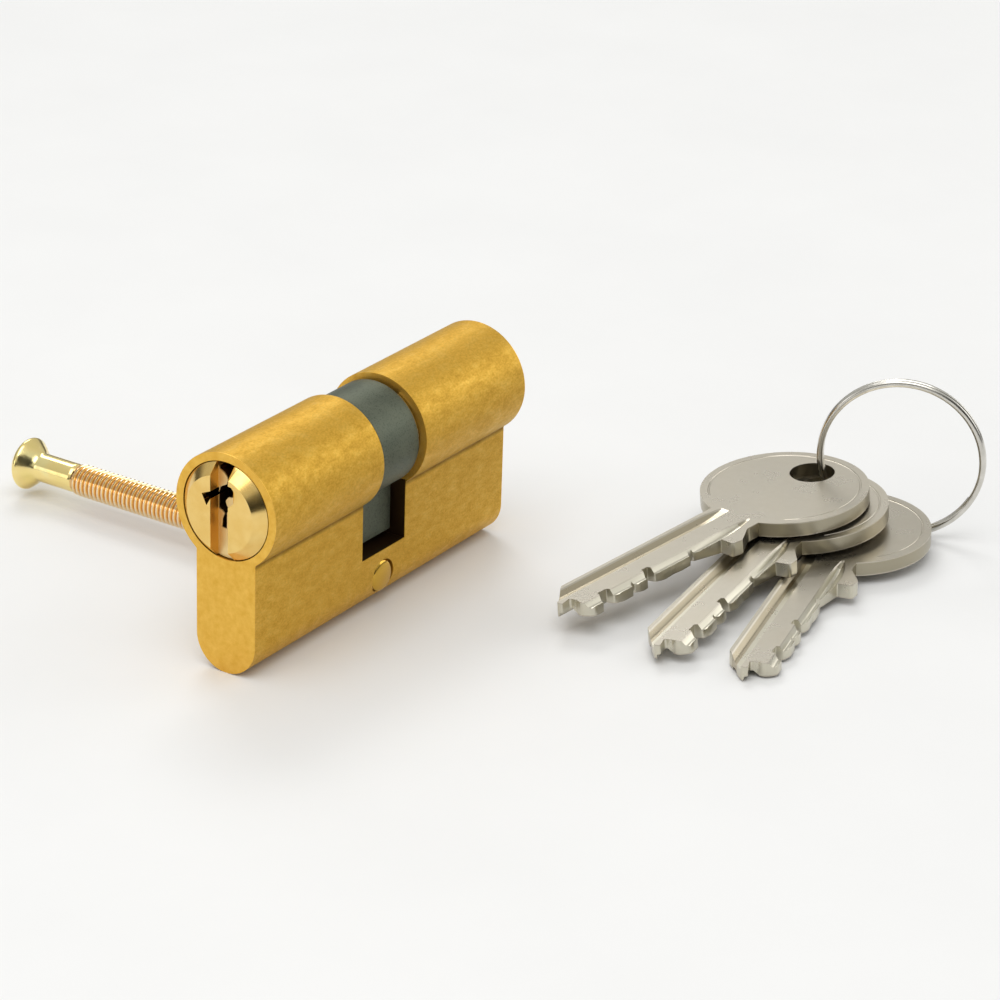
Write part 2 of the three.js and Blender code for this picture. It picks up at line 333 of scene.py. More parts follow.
class Shader:
    """A small helper that builds one node material round a Principled shader."""

    def __init__(self, name, **sockets):
        self.material = bpy.data.materials.new(name)
        self.material.use_nodes = True
        self.nodes = self.material.node_tree.nodes
        self.links = self.material.node_tree.links
        self.surface = self.nodes["Principled BSDF"]
        for socket, value in sockets.items():
            self.surface.inputs[socket.replace("_", " ")].default_value = value
        self.place = self.nodes.new("ShaderNodeTexCoord").outputs["Object"]

    def stretched(self, scale):
        """The object coordinates, scaled axis by axis."""
        mapping = self.nodes.new("ShaderNodeMapping")
        mapping.inputs["Scale"].default_value = scale
        self.links.new(self.place, mapping.inputs["Vector"])
        return mapping.outputs["Vector"]

    def noise(self, scale, stretch=(1, 1, 1), detail=4, roughness=0.55, distortion=0.0):
        node = self.nodes.new("ShaderNodeTexNoise")
        node.inputs["Scale"].default_value = scale
        node.inputs["Detail"].default_value = detail
        node.inputs["Roughness"].default_value = roughness
        node.inputs["Distortion"].default_value = distortion
        self.links.new(self.stretched(stretch), node.inputs["Vector"])
        return node.outputs["Fac"]

    def ramp(self, value, *stops):
        """Colour or grey by value; each stop is (position, colour or grey)."""
        node = self.nodes.new("ShaderNodeValToRGB")
        elements = node.color_ramp.elements
        while len(elements) < len(stops):
            elements.new(0.5)
        for element, (position, colour) in zip(elements, stops):
            grey = (colour,) * 3 if isinstance(colour, (int, float)) else colour
            element.position = position
            element.color = (*grey, 1)
        self.links.new(value, node.inputs["Fac"])
        return node.outputs["Color"]

    def mix(self, factor, a, b, mode="MIX"):
        node = self.nodes.new("ShaderNodeMix")
        node.data_type = "RGBA"
        node.blend_type = mode
        for socket, value in (("Factor", factor), ("A", a), ("B", b)):
            slot = [i for i in node.inputs if i.name == socket and i.enabled][0]
            if isinstance(value, bpy.types.NodeSocket):
                self.links.new(value, slot)
            else:
                slot.default_value = value if socket == "Factor" else (*value, 1)
        return [o for o in node.outputs if o.enabled][0]

    def math(self, operation, *values):
        """The result of a Math node on one to three numbers or sockets."""
        node = self.nodes.new("ShaderNodeMath")
        node.operation = operation
        for slot, value in zip(node.inputs, values):
            if isinstance(value, bpy.types.NodeSocket):
                self.links.new(value, slot)
            else:
                slot.default_value = value
        return node.outputs[0]

    def axis(self, name):
        """One object coordinate, in metres."""
        axes = self.nodes.new("ShaderNodeSeparateXYZ")
        self.links.new(self.place, axes.inputs["Vector"])
        return axes.outputs[name]

    def inside(self, above=None, below=None, radius=None, **limits):
        """1 within half-widths by axis name, two heights and a radius about the X axis, else 0."""
        parts = [self.math("LESS_THAN", self.math("ABSOLUTE", self.axis(name)), limit * MM)
                 for name, limit in limits.items()]
        if above is not None:
            parts.append(self.math("GREATER_THAN", self.axis("Z"), above * MM))
        if below is not None:
            parts.append(self.math("LESS_THAN", self.axis("Z"), below * MM))
        if radius is not None:
            squares = [self.math("POWER", self.axis(name), 2.0) for name in ("Y", "Z")]
            parts.append(self.math("LESS_THAN", self.math("ADD", *squares), (radius * MM) ** 2))
        mask = parts[0]
        for part in parts[1:]:
            mask = self.math("MULTIPLY", mask, part)
        return mask

    def bump(self, *layers):
        """Each layer is (height, distance in millimetres, strength)."""
        normal = None
        for height, distance, strength in layers:
            node = self.nodes.new("ShaderNodeBump")
            node.inputs["Distance"].default_value = distance * MM
            node.inputs["Strength"].default_value = strength
            self.links.new(height, node.inputs["Height"])
            if normal is not None:
                self.links.new(normal, node.inputs["Normal"])
            normal = node.outputs["Normal"]
        self.links.new(normal, self.surface.inputs["Normal"])

    def set(self, socket, value):
        """Feeds a socket of the surface."""
        self.links.new(value, self.surface.inputs[socket])


def raw_brass():
    """Drawn brass, mottled; turned end faces partly painted light; painted shade on the lower barrel and in
    the notch.
    """
    s = Shader("raw_brass", Metallic=1.0)
    patches = s.noise(80, (0.5, 1, 1), detail=6, roughness=0.62)
    mottle = s.noise(780, (0.55, 1, 1), detail=4, roughness=0.7)
    grain = s.noise(3600, (0.7, 1, 1), detail=2)
    lines = s.noise(620, (0.03, 2.2, 2.2), detail=4)
    tone = s.ramp(patches, (0.25, (0.62, 0.36, 0.045)), (0.5, (0.69, 0.41, 0.055)),
                  (0.75, (0.75, 0.46, 0.075)))
    speck = s.ramp(mottle, (0.3, (0.46, 0.265, 0.025)), (0.5, (0.66, 0.39, 0.05)),
                   (0.7, (0.84, 0.57, 0.14)))
    fine = s.ramp(grain, (0.3, (0.48, 0.28, 0.03)), (0.7, (0.82, 0.51, 0.09)))
    colour = s.mix(0.4, s.mix(0.4, tone, speck), fine)
    # Painted shade: a dark line where the barrel meets the stem, fading through olive up the lower barrel.
    height = s.math("MULTIPLY_ADD", s.axis("Z"), 1 / (2 * BARREL_RADIUS * MM), 0.5)
    crease_shade = s.ramp(height, (0.05, 1.0), (0.085, (0.42, 0.38, 0.3)), (0.11, (0.70, 0.72, 0.66)),
                    (0.2, (0.90, 0.93, 0.87)), (0.34, 1.0))
    colour = s.mix(1.0, colour, crease_shade, "MULTIPLY")
    # End faces and the notch walls above the bore get a brighter colour: partly fresh-cut brass, partly
    # painted light.
    turned_face_with_painted_light = s.ramp(mottle, (0.3, (0.75, 0.42, 0.06)), (0.7, (0.87, 0.54, 0.105)))
    drawn = s.inside(X=HALF_LENGTH - 0.12)
    colour = s.mix(drawn, turned_face_with_painted_light, colour)
    notch_edge = NOTCH_HALF_WIDTH + 0.02
    colour = s.mix(s.inside(X=notch_edge, above=-BORE_RADIUS), colour, turned_face_with_painted_light)
    # Near-black painted shade in the notch below the bore.
    notch = s.inside(X=notch_edge, Y=STEM_HALF_WIDTH - 0.1, above=NOTCH_BOTTOM - 0.1, below=-BORE_RADIUS)
    colour = s.mix(notch, colour, (0.085, 0.045, 0.018))
    s.set("Base Color", colour)
    s.set("Roughness", s.mix(drawn, (0.36, 0.36, 0.36), s.ramp(mottle, (0.3, 0.62), (0.7, 0.44))))
    s.bump((mottle, 0.035, 0.4), (grain, 0.01, 0.35), (lines, 0.014, 0.3))
    return s.material


def polished_brass(name="polished_brass"):
    """Turned and polished brass with hairline marks; the milled guide slot is duller; keyway and pockets
    past its floor get painted shade.
    """
    s = Shader(name, Metallic=1.0)
    haze = s.noise(420, detail=3)
    hair = s.noise(1500, (0.2, 1, 3), detail=2)
    slot_edge = GUIDE_SLOT_HIGH + 0.07
    slot = s.inside(X=NOSE_END - GUIDE_SLOT_DEPTH + 0.05, Y=slot_edge)
    wall = s.inside(X=NOSE_END - 0.12, Y=slot_edge)
    # The keyway and pockets deeper than the slot floor get near-black painted shade.
    bore = s.inside(X=NOSE_END - GUIDE_SLOT_DEPTH - 0.2, radius=PLUG_RADIUS - 0.15)
    tone = s.ramp(haze, (0.35, (0.84, 0.56, 0.17)), (0.7, (0.90, 0.64, 0.23)))
    milled = s.mix(slot, s.mix(wall, tone, (0.78, 0.43, 0.08)), (0.88, 0.68, 0.34))
    s.set("Base Color", s.mix(bore, milled, (0.09, 0.035, 0.012)))
    s.set("Roughness", s.mix(wall, s.ramp(haze, (0.3, 0.2), (0.7, 0.12)), (0.5, 0.5, 0.5)))
    s.bump((hair, 0.004, 0.2))
    return s.material


def sintered_steel():
    """Steam-treated sintered steel: dark grey-green, fine pores, slow cloudy tone."""
    s = Shader("sintered_steel", Metallic=0.85)
    cloud = s.noise(260, detail=4)
    pores = s.noise(4200, detail=2, roughness=0.7)
    tone = s.ramp(cloud, (0.3, (0.085, 0.10, 0.072)), (0.7, (0.155, 0.17, 0.125)))
    pits = s.ramp(pores, (0.36, (0.035, 0.042, 0.03)), (0.48, (0.13, 0.145, 0.105)))
    s.set("Base Color", s.mix(0.4, tone, pits))
    s.set("Roughness", s.ramp(cloud, (0.3, 0.42), (0.7, 0.56)))
    s.bump((pores, 0.02, 0.35))
    return s.material


def spring_steel():
    """Bright steel, slightly clouded, for the springs, drivers, clutch and circlips."""
    s = Shader("spring_steel", Metallic=1.0)
    tone = s.noise(800, detail=3)
    s.set("Base Color", s.ramp(tone, (0.35, (0.42, 0.42, 0.44)), (0.7, (0.56, 0.56, 0.57))))
    s.set("Roughness", s.ramp(tone, (0.3, 0.3), (0.7, 0.2)))
    s.bump((s.noise(2600, detail=2), 0.004, 0.3))
    return s.material


def yellow_zinc():
    """Yellow-passivated zinc: pale gold shank and head, pale crests and amber roots on the thread,
    brass-coloured painted shade on the tip.
    """
    s = Shader("yellow_zinc", Metallic=1.0)
    film = s.noise(330, (1, 0.5, 1), detail=3, distortion=0.4)
    tone = s.ramp(film, (0.28, (0.90, 0.74, 0.28)), (0.5, (0.95, 0.76, 0.32)), (0.74, (0.92, 0.84, 0.42)))
    across = s.math("POWER", s.axis("X"), 2.0)
    upward = s.math("POWER", s.math("SUBTRACT", s.axis("Z"), HOLE_Z * MM), 2.0)
    radius = s.math("SQRT", s.math("ADD", across, upward))
    flank = s.ramp(s.math("DIVIDE", radius, THREAD_RADIUS * MM), (0.84, (0.74, 0.44, 0.18)),
                   (0.92, (0.98, 0.72, 0.34)), (0.99, (0.96, 0.84, 0.64)))
    thread = s.math("LESS_THAN", s.axis("Y"), THREAD_END * MM)
    # The tip inside the hole gets a brass colour as painted shade.
    tip = s.math("LESS_THAN", s.axis("Y"), SHADED_TIP_Y * MM)
    s.set("Base Color", s.mix(tip, s.mix(thread, tone, flank), (0.62, 0.38, 0.06)))
    s.set("Roughness", s.ramp(s.noise(1200, detail=3), (0.3, 0.2), (0.7, 0.12)))
    s.bump((s.noise(2400, detail=2), 0.004, 0.2))
    return s.material


def nickel():
    """Satin nickel plate with a soft cloudy tone; painted shade on the bow's sides and the groove walls
    near the spine, painted light along the blade's sides.
    """
    s = Shader("nickel", Metallic=1.0)
    cloud = s.noise(210, detail=4)
    face = s.ramp(cloud, (0.3, (0.50, 0.46, 0.38)), (0.7, (0.56, 0.52, 0.44)))
    blade = s.math("LESS_THAN", s.axis("X"), BLADE_START * MM)
    # Painted shade on the groove walls near the spine; the blade's other sides are painted paler, as
    # painted light.
    flank = s.math("MULTIPLY", s.math("GREATER_THAN", s.axis("Y"), 2.1 * MM), s.inside(Y=-BLADE_EDGE_Y))
    milled = s.mix(flank, (0.60, 0.57, 0.47), (0.43, 0.375, 0.27))
    # Painted shade on the sides of the bow.
    edge = s.mix(blade, (0.38, 0.345, 0.26), milled)
    s.set("Base Color", s.mix(s.inside(Z=KEY_THICKNESS / 2 - KEY_BEVEL - 0.01), face, edge))
    s.set("Roughness", s.ramp(cloud, (0.3, 0.32), (0.7, 0.26)))
    s.bump((s.noise(500, (0.4, 1, 1), detail=2), 0.004, 0.08))
    return s.material


def ring_nickel():
    """Brighter nickel plate for the ring's wire."""
    s = Shader("ring_nickel", Metallic=1.0)
    tone = s.noise(500, detail=3)
    s.set("Base Color", s.ramp(tone, (0.3, (0.58, 0.56, 0.51)), (0.7, (0.70, 0.68, 0.63))))
    s.set("Roughness", s.ramp(tone, (0.3, 0.24), (0.7, 0.14)))
    s.bump((s.noise(2200, detail=2), 0.004, 0.25))
    return s.material


materials = {
    "raw_brass": raw_brass(),
    "polished_brass": polished_brass(),
    "pin_brass": polished_brass("pin_brass"),
    "sintered_steel": sintered_steel(),
    "spring_steel": spring_steel(),
    "yellow_zinc": yellow_zinc(),
    "nickel": nickel(),
    "ring_nickel": ring_nickel(),
}


def place(obj, body, slot, *nodes):
    """Gives a finished piece its material, its CAD body and the CAD nodes it stands for."""
    obj.data.materials.clear()
    obj.data.materials.append(materials[slot])
    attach(obj, body)
    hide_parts(*nodes)
    return obj


# ---------------------------------------------------------------- housing


def euro_profile():
    """The outline of the housing in the Y-Z plane, with soft fillets between barrel and stem."""
    reach = BARREL_RADIUS + FILLET
    fillet_y = STEM_HALF_WIDTH + FILLET
    fillet_z = -math.sqrt(reach ** 2 - fillet_y ** 2)
    lean = math.degrees(math.atan2(fillet_z, fillet_y))
    belly_z = BELLY_BOTTOM + STEM_HALF_WIDTH
    outline = arc((0, 0), BARREL_RADIUS, lean, 180 - lean, 140)
    outline += arc((-fillet_y, fillet_z), FILLET, -lean, 0, 8)[1:]
    outline += arc((0, belly_z), STEM_HALF_WIDTH, 180, 360, 44)
    outline += arc((fillet_y, fillet_z), FILLET, 180, 180 + lean, 8)[:-1]
    return outline


def chamber_x(side, stack):
    """Where a pin chamber stands along the lock."""
    low, high = node_box(f"chamber_cap_{side}_{stack}")
    return (low[0] + high[0]) / 2


def make_housing():
    """The drawn body, cut by the notch for the cam, the stepped bore, the screw hole and the chambers."""
    body = prism("housing_body", euro_profile(), -HALF_LENGTH, HALF_LENGTH)
    open_end = HALF_LENGTH + PAST
    half_bore = [(open_end, 0), (open_end, COUNTERBORE_RADIUS), (COUNTERBORE_START, COUNTERBORE_RADIUS),
                 (COUNTERBORE_START, BORE_RADIUS)]
    bore = turned("bore", [(-x, r) for x, r in half_bore] + half_bore[::-1])
    side_reach = BARREL_RADIUS + PAST
    notch = block("notch", (-NOTCH_HALF_WIDTH, -side_reach, NOTCH_BOTTOM),
                  (NOTCH_HALF_WIDTH, side_reach, side_reach))
    stem_reach = STEM_HALF_WIDTH + PAST
    hole = rod("hole", HOLE_RADIUS, -stem_reach, stem_reach, "y", 64, (0, 0, HOLE_Z))
    chambers = [
        rod("chamber", CHAMBER_RADIUS, BELLY_BOTTOM - PAST, -PLUG_RADIUS + PAST, "z", 32,
            (chamber_x(side, stack), 0, 0))
        for side in SIDES for stack in STACKS]
    return soften(cut(body, notch, bore, hole, *chambers), 0.2)


place(make_housing(), "housing", "raw_brass", "housing")

# ---------------------------------------------------------------- plugs


def keyway_outline():
    """The warded keyway in the Y-Z plane: a round body, a side ward and a narrow slot below."""
    top_slit = [(0.03, 4.3, 0), (0.03, 5.6, 0), (-0.3, 5.6, 0), (-0.3, 4.3, 0)]
    left_ward = [(-0.55, 3.5, 0.3), (-1.2, 2.75, 0.4), (-1.1, 2.1, 0.2), (-0.1, 1.9, 0.3), (0.35, 1.3, 0.3),
                 (0.2, 0.7, 0.2), (-0.25, 0.1, 0.15)]
    low_slot = [(0.14, -0.45, 0.15), (0.14, -2.85, 0.05), (0.95, -2.8, 0.05), (0.86, -1.5, 0.2)]
    right_side = [(0.53, -0.65, 0.2), (0.9, -0.3, 0.2), (1.5, -0.1, 0.3)]
    shoulder = [(1.5, 2.3, 0.4), (1.2, 3.2, 0.4), (0.2, 3.75, 0.3)]
    return rounded(shoulder + top_slit + left_ward + low_slot + right_side, 4)


def nose_cutters(front):
    """Cutters for the guide slot, the keyway and the pockets round it, all reaching in from the nose."""
    slot_floor = -NOSE_END + GUIDE_SLOT_DEPTH
    top = [(GUIDE_SLOT_HIGH, 6.3), (1.3, 5.75), (0.6, 5.4), (0.1, 4.85), (-0.25, 4.45),
           (GUIDE_SLOT_LOW, 4.7), (GUIDE_SLOT_LOW, 9), (GUIDE_SLOT_HIGH, 9)]
    left = [(1.5, 3.05), (3.0, 2.4), (2.2, 0.8), (1.5, 2.0)]
    right = [(-0.9, 4.6, 0), (-2.0, 4.5, 0.4), (-2.65, 3.7, 0.4), (-2.4, 2.2, 0.8), (-0.9, 0.9, 0)]
    return [
        block("slot", (front, GUIDE_SLOT_LOW, -9), (slot_floor, GUIDE_SLOT_HIGH, 9)),
        prism("keyway", keyway_outline(), front, 0),
        prism("top_pocket", top, front, -26),
        prism("left_pocket", left, front, -NOSE_END + 6),
        prism("right_pocket", rounded(right, 5), front, -NOSE_END + 1.2),
    ]


def make_front_plug():
    """The front plug, nose towards -X, with its guide slot, keyway, chambers and clutch slot."""
    profile = [
        (-NOSE_END, 0), (-NOSE_END, NOSE_RADIUS), (-HALF_LENGTH + 0.05, COLLAR_RADIUS),
        (-COLLAR_INNER, COLLAR_RADIUS), (-COLLAR_INNER, PLUG_RADIUS), (-CIRCLIP_GROOVE[1], PLUG_RADIUS),
        (-CIRCLIP_GROOVE[1], CIRCLIP_GROOVE_RADIUS), (-CIRCLIP_GROOVE[0], CIRCLIP_GROOVE_RADIUS),
        (-CIRCLIP_GROOVE[0], PLUG_RADIUS), (-PLUG_INNER_END, PLUG_RADIUS), (-PLUG_INNER_END, 0)]
    plug = turned("plug", profile, "x", 128)
    tools = nose_cutters(-NOSE_END - PAST)
    tools.append(block("end_slot", (-3.2, -8, -1.3), (0, 8, 1.3)))
    tools += [rod("chamber", CHAMBER_RADIUS, -8, 0, "z", 32, (chamber_x("front", stack), 0, 0))
              for stack in STACKS]
    return soften(cut(plug, *tools), 0.08)


front_plug = make_front_plug()
rear_plug = front_plug.copy()
rear_plug.data = front_plug.data.copy()
bpy.context.scene.collection.objects.link(rear_plug)
rear_plug.data.transform(Matrix.Rotation(math.pi, 4, "Z"))
front_plug.name = "front_plug_body"
rear_plug.name = "rear_plug_body"
place(front_plug, "front_plug", "polished_brass", "plug_front")
place(rear_plug, "rear_plug", "polished_brass", "plug_rear")

# ---------------------------------------------------------------- cam, clutch and circlips


def make_cam():
    """The cam: a ring with one lever hanging from it and a groove across its bore for the clutch."""
    tip = math.degrees(math.asin(CAM_LEVER_HALF / CAM_LEVER_RADIUS))
    blend = 0.9
    fillet_y = CAM_LEVER_HALF + blend
    fillet_z = -math.sqrt((CAM_RADIUS + blend) ** 2 - fillet_y ** 2)
    lean = math.degrees(math.atan2(fillet_z, fillet_y))
    outline = arc((0, 0), CAM_RADIUS, lean, 180 - lean, 110)
    outline += arc((-fillet_y, fillet_z), blend, -lean, 0, 6)[1:]
    outline += arc((0, 0), CAM_LEVER_RADIUS, -90 - tip, -90 + tip, 12)
    outline += arc((fillet_y, fillet_z), blend, 180, 180 + lean, 6)[:-1]
    cam = prism("cam_ring", outline, -CAM_HALF_WIDTH, CAM_HALF_WIDTH)
    reach = CAM_HALF_WIDTH + PAST
    bore = rod("bore", BORE_RADIUS, -reach, reach)
    groove = block("groove", (-reach, -7.2, -1.25), (reach, 7.2, 1.25))
    return soften(cut(cam, bore, groove), 0.22, 3)


def make_clutch():
    """The sliding bar that couples a plug to the cam."""
    low, high = node_box("clutch")
    return soften(block("clutch_bar", low, high), 0.3, 3)


def make_circlip(side):
    """An open ring, its gap upwards, in the groove at the inner end of a plug."""
    low, high = node_box(f"circlip_{side}")
    half_gap = 28
    start, end = 90 + half_gap, 450 - half_gap
    outline = arc((0, 0), 7.3, start, end, 90) + arc((0, 0), 6.05, end, start, 90)
    return soften(prism(f"circlip_{side}_ring", outline, low[0], high[0]), 0.08, 2)


place(make_cam(), "cam", "sintered_steel", "cam")
place(make_clutch(), "clutch", "spring_steel", "clutch")
for side in SIDES:
    place(make_circlip(side), f"{side}_plug", "spring_steel", f"circlip_{side}")

# ---------------------------------------------------------------- pin stacks


def at_stack(obj, side, stack):
    """Moves a piece made on the Z axis into its chamber."""
    obj.data.transform(Matrix.Translation((chamber_x(side, stack) * MM, 0, 0)))
    return obj


def make_key_pin(side, stack):
    """A pin with a domed foot and a pointed end towards the key."""
    low, high = node_box(f"key_pin_{side}_{stack}")
    bottom, top = low[2], high[2]
    profile = [
        (bottom, 0), (bottom + 0.02, 0.6), (bottom + 0.12, 1.1), (bottom + 0.35, 1.4),
        (bottom + 0.6, PIN_RADIUS), (top - 1.15, PIN_RADIUS), (top - 1.0, 1.42), (top - 0.18, 0.5),
        (top - 0.04, 0.28), (top, 0)]
    return at_stack(smooth(turned(f"key_pin_{side}_{stack}_body", profile, "z", 32)), side, stack)


def make_driver_pin(side, stack):
    """A spool-shaped pin with softened ends."""
    low, high = node_box(f"driver_pin_{side}_{stack}")
    bottom, top = low[2], high[2]
    profile = [
        (bottom, 0), (bottom, 1.2), (bottom + 0.08, 1.4), (bottom + 0.25, PIN_RADIUS),
        (bottom + 1.5, PIN_RADIUS), (bottom + 1.7, 1.3), (top - 1.7, 1.3), (top - 1.5, PIN_RADIUS),
        (top - 0.25, PIN_RADIUS), (top - 0.07, 1.38), (top, 1.2), (top, 0)]
    return at_stack(smooth(turned(f"driver_pin_{side}_{stack}_body", profile, "z", 32)), side, stack)


def make_pin_spring(side, stack):
    """A coil of nine turns that fills the CAD spring's height."""
    low, high = node_box(f"pin_spring_{side}_{stack}")
    wire = 0.19
    height = high[2] - low[2] - 2 * wire
    coil = helix(f"pin_spring_{side}_{stack}_coil", 1.15, 9, height, oval(wire, wire, 8), 16)
    coil.data.transform(Matrix.Translation((0, 0, (low[2] + wire) * MM)))
    return at_stack(smooth(coil, 60), side, stack)


def make_chamber_cap(side, stack):
    """The disc that closes a chamber from below."""
    low, high = node_box(f"chamber_cap_{side}_{stack}")
    bottom, top = low[2], high[2]
    radius = (high[0] - low[0]) / 2
    profile = [
        (bottom, 0), (bottom, radius - 0.15), (bottom + 0.15, radius), (top - 0.1, radius),
        (top, radius - 0.1), (top, 0)]
    return at_stack(smooth(turned(f"chamber_cap_{side}_{stack}_disc", profile, "z", 40)), side, stack)


for side in SIDES:
    for stack in STACKS:
        key = f"{side}_{stack}"
        place(make_key_pin(side, stack), f"key_pin_{key}", "pin_brass", f"key_pin_{key}")
        place(make_driver_pin(side, stack), f"driver_pin_{key}", "spring_steel", f"driver_pin_{key}")
        place(make_chamber_cap(side, stack), "housing", "raw_brass", f"chamber_cap_{key}")
        spring = place(make_pin_spring(side, stack), "housing", "spring_steel", f"pin_spring_{key}")
        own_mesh(spring)

# ---------------------------------------------------------------- fixing screw


def thread_column(turn, turns, rows):
    """(station, radius) points along one line of the shank, a part of a turn round from the first."""
    crest = [0.0, 0.0, 0.3, 0.75, 1.0, 1.0, 0.75, 0.3, 0.0, 0.0]
    fade_in, fade_out = 0.9, 1.0
    column = []
    for q in range(turns * rows + 1):
        y = THREAD_START + THREAD_PITCH * (q / rows - turn)
        fade = min(max((y - THREAD_START) / fade_in, 0), 1) * min(max((THREAD_END - y) / fade_out, 0), 1)
        radius = THREAD_ROOT + (THREAD_RADIUS - THREAD_ROOT) * crest[q % rows] * fade ** 0.5
        column.append((min(max(y, THREAD_START), THREAD_END), radius))
    return column


def screw_faces(columns, count, first, last, rows, same):
    """The faces of the grid, whose last column meets column 0 one turn, or rows points, back.

    same(m, a, b) tells whether points a and b of column m coincide, which leaves no face between them.
    """
    faces = []
    for m in range(columns - 1):
        n = m + 1
        faces += [(m * count + q, n * count + q, n * count + q + 1, m * count + q + 1)
                  for q in range(count - 1)]
    m = columns - 1
    for q in range(count - 1):
        if not first <= q < last:
            faces.append((m * count + q, q, q + 1, m * count + q + 1))
        elif q + 1 - rows >= first:
            faces.append((m * count + q, max(q - rows, first), q + 1 - rows, m * count + q + 1))
    faces += [(m * count + q, first, m * count + q + 1) for q in range(first, first + rows)
              if not same(m, q, q + 1)]
    faces += [(m * count + last, last - q - 1, last - q) for q in range(rows)
              if not same(0, last - q, last - q - 1)]
    return faces


def make_screw():
    """The shank is a grid that follows the helix; head and tip are turned and the recess is a cross."""
    columns, rows = 48, 10
    start, end = screw_low[1], screw_high[1]
    turns = int((THREAD_END - THREAD_START) / THREAD_PITCH) + 2
    neck = end - 4.0
    tip = [(start, 1.9), (start + 0.1, 2.16), (start + 0.3, 2.36), (start + 0.42, 2.36)]
    head = [
        (THREAD_END + 0.3, 2.16), (THREAD_END + 0.6, 2.2), (neck - 0.4, 2.2), (neck, 2.24),
        (neck + 0.3, 2.4), (neck + 0.65, 2.72), (neck + 1.6, 3.5), (end - 1.95, 3.85), (end - 1.8, 3.96),
        (end - 1.6, 4.0), (end - 1.4, 3.97), (end - 1.1, 3.78), (end - 0.75, 3.4), (end - 0.42, 2.8),
        (end - 0.2, 2.1), (end - 0.06, 1.2)]
    points = []
    for m in range(columns):
        angle = TAU * m / columns
        stations = tip + thread_column(m / columns, turns, rows) + head
        points += [(r * math.sin(angle), y, r * math.cos(angle) + HOLE_Z) for y, r in stations]
    count = len(points) // columns
    first = len(tip)
    last = first + turns * rows
    faces = screw_faces(columns, count, first, last, rows,
                        lambda m, a, b: points[m * count + a] == points[m * count + b])
    tip_centre, head_centre = len(points), len(points) + 1
    for m in range(columns):
        n = (m + 1) % columns
        faces.append((tip_centre, n * count, m * count))
        faces.append((head_centre, m * count + count - 1, n * count + count - 1))
    points += [(0, start, HOLE_Z), (0, end, HOLE_Z)]
    screw = mesh_object("fixing_screw_body", points, faces)
    arm, half = 1.85, 0.42
    cross = [(arm, -half), (arm, half), (half, half), (half, arm), (-half, arm), (-half, half),
             (-arm, half), (-arm, -half), (-half, -half), (-half, -arm), (half, -arm), (half, -half)]
    recess = prism("recess", [(x, z + HOLE_Z) for x, z in cross], end - 2.2, end + PAST, "y")
    return smooth(cut(screw, recess), 40)


place(make_screw(), "screw", "yellow_zinc", "fixing_screw")

# ---------------------------------------------------------------- keys


def key_cuts():
    """The corners of the cuts: a flat floor between two flanks each, and a land before the next."""
    corners = []
    for middle, half, depth in KEY_CUTS:
        foot = half + 0.12 + 0.14 * depth
        cut_floor = BLADE_EDGE_Y + depth
        rise = 0.55 * min(depth, 1)
        if corners:
            corners.append((0.6 * corners[-1][0] + 0.4 * (middle - foot), BLADE_EDGE_Y - 0.05, 3))
        corners += [(middle - foot, BLADE_EDGE_Y + 0.05, 0.3), (middle - half, cut_floor, 0.15),
                    (middle + half, cut_floor, 0.15), (middle + foot, BLADE_EDGE_Y + rise, 0.5)]
    return corners


def key_outline():
    """The outline of a key: round bow, spine, hooked tip, five cuts of uneven depth and the shoulder."""
    spine_neck = math.degrees(math.asin(SPINE_Y / BOW_RADIUS))
    shoulder_neck = math.degrees(math.asin(-SHOULDER_Y / BOW_RADIUS))
    bow = [(x, y, 0) for x, y in arc((0, 0), BOW_RADIUS, -180 + shoulder_neck, 180 - spine_neck, 120)]
    tip = [
        (-13.2, SPINE_Y, 0.9), (-44.2, SPINE_Y, 0.4), (KEY_TIP + 0.5, 1.3, 0.4), (KEY_TIP, 0.75, 0.4),
        (KEY_TIP + 0.15, 0.0, 0.3), (-46.3, 0.35, 0.35), (-46.15, -0.8, 1.2), (-46.3, -1.9, 1.5),
        (-45.2, BLADE_EDGE_Y, 1.2)]
    shoulder = [
        (-22.4, BLADE_EDGE_Y + 0.2, 1.5), (-19.1, -4.2, 0.2), (-19.1, -6.5, 0.5), (-17.3, -6.8, 0.5),
        (-14.1, SHOULDER_Y, 1.2)]
    return rounded(bow + tip + key_cuts() + shoulder, 5)


def groove_tool(name, section, face, end, cutter=22.0):
    """A milled groove along the blade that rises out of the metal in the bow on the cutter's arc."""
    top = KEY_THICKNESS / 2
    rings = []
    for x in [-52.0, end] + [end + cutter * math.sin(math.radians(a)) for a in range(2, 31, 2)]:
        rise = cutter - math.sqrt(cutter ** 2 - max(0.0, x - end) ** 2)
        rings.append([(x, y, (top + z + rise) * face) for y, z in section])
    return loft(name, rings)


def valley(high, low, depth, slope_high, slope_low):
    """A groove section between two edges on the face: walls that slope in, meeting a rounded floor."""
    floor_high, floor_low = high - slope_high, low + slope_low
    return [(high + 0.3 * slope_high, 0.3 * depth), (floor_high + 0.25, -0.88 * depth),
            (floor_high, -depth), (floor_low, -depth), (floor_low - 0.12, -0.8 * depth),
            (low - 0.3 * slope_low, 0.3 * depth)]


def rim_groove(face):
    """A fine turned line just inside the edge of the bow."""
    angles = [math.radians(a) for a in np.linspace(-140, 140, 141)]
    outward = [np.array((math.cos(a), math.sin(a), 0)) for a in angles]
    centres = [o * (BOW_RADIUS - 1.3) + np.array((0, 0, face * KEY_THICKNESS / 2)) for o in outward]
    return sweep("rim_groove", centres, outward, [np.array((0, 0, 1.0))] * len(angles), oval(0.16, 0.11, 8))


